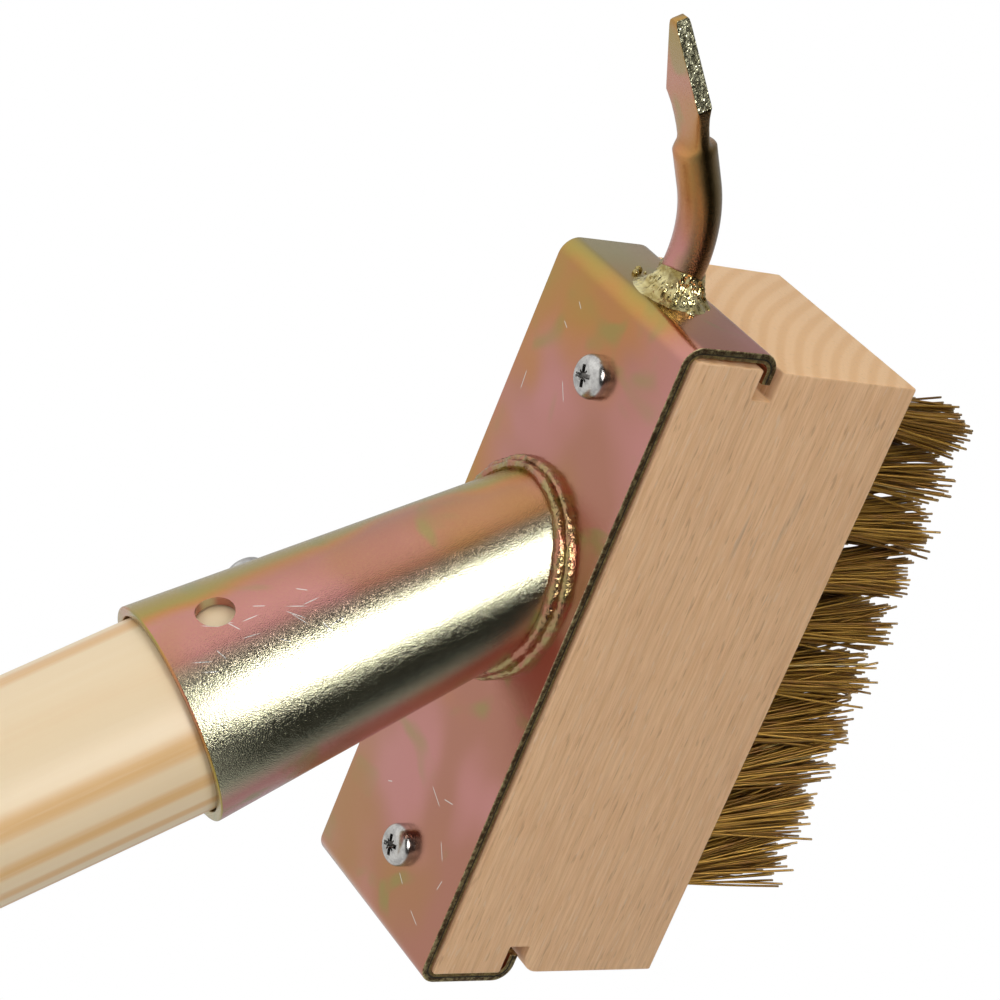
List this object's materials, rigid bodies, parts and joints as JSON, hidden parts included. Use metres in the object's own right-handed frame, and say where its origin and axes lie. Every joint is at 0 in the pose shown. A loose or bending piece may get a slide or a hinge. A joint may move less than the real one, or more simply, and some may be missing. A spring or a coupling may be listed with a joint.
{
  "type": "wire joint brush",
  "caption": "Long-handled wire brush for paving joints, with a wooden block in a folded zinc-plated bracket, a conical pole socket and a scraper hook.",
  "frame": {"origin": "centre of the flat outer face of the bracket's back plate, where the pole and its socket stand on the brush head", "axes": "+X along the block towards the scraper hook, +Z out of the bracket's back with the bristles pointing down, +Y across the block; the pole rises back over -X"},
  "size_m": [0.7357, 0.0504, 1.0902],
  "materials": {
    "yellow_zinc_plate": "glossy",
    "plated_weld": "satin",
    "beech": "matt",
    "pole_wood": "satin",
    "screw_steel": "glossy",
    "brassed_wire": "satin"
  },
  "bodies": {
    "root": {"brush_block": "beech", "front_block_screw": "screw_steel", "handle_socket": "yellow_zinc_plate", "holder_bracket": "yellow_zinc_plate", "pole": "pole_wood", "pole_screw": "screw_steel", "rear_block_screw": "screw_steel", "scraper_hook": "yellow_zinc_plate", "scraper_weld": "plated_weld", "socket_weld": "plated_weld", "tuft_1_01": "brassed_wire", "tuft_1_02": "brassed_wire", "tuft_1_03": "brassed_wire", "tuft_1_04": "brassed_wire", "tuft_1_05": "brassed_wire", "tuft_1_06": "brassed_wire", "tuft_1_07": "brassed_wire", "tuft_1_08": "brassed_wire", "tuft_1_09": "brassed_wire", "tuft_1_10": "brassed_wire", "tuft_2_01": "brassed_wire", "tuft_2_02": "brassed_wire", "tuft_2_03": "brassed_wire", "tuft_2_04": "brassed_wire", "tuft_2_05": "brassed_wire", "tuft_2_06": "brassed_wire", "tuft_2_07": "brassed_wire", "tuft_2_08": "brassed_wire", "tuft_2_09": "brassed_wire", "tuft_2_10": "brassed_wire", "tuft_3_01": "brassed_wire", "tuft_3_02": "brassed_wire", "tuft_3_03": "brassed_wire", "tuft_3_04": "brassed_wire", "tuft_3_05": "brassed_wire", "tuft_3_06": "brassed_wire", "tuft_3_07": "brassed_wire", "tuft_3_08": "brassed_wire", "tuft_3_09": "brassed_wire", "tuft_3_10": "brassed_wire", "tuft_4_01": "brassed_wire", "tuft_4_02": "brassed_wire", "tuft_4_03": "brassed_wire", "tuft_4_04": "brassed_wire", "tuft_4_05": "brassed_wire", "tuft_4_06": "brassed_wire", "tuft_4_07": "brassed_wire", "tuft_4_08": "brassed_wire", "tuft_4_09": "brassed_wire", "tuft_4_10": "brassed_wire"}
  },
  "joints": []
}
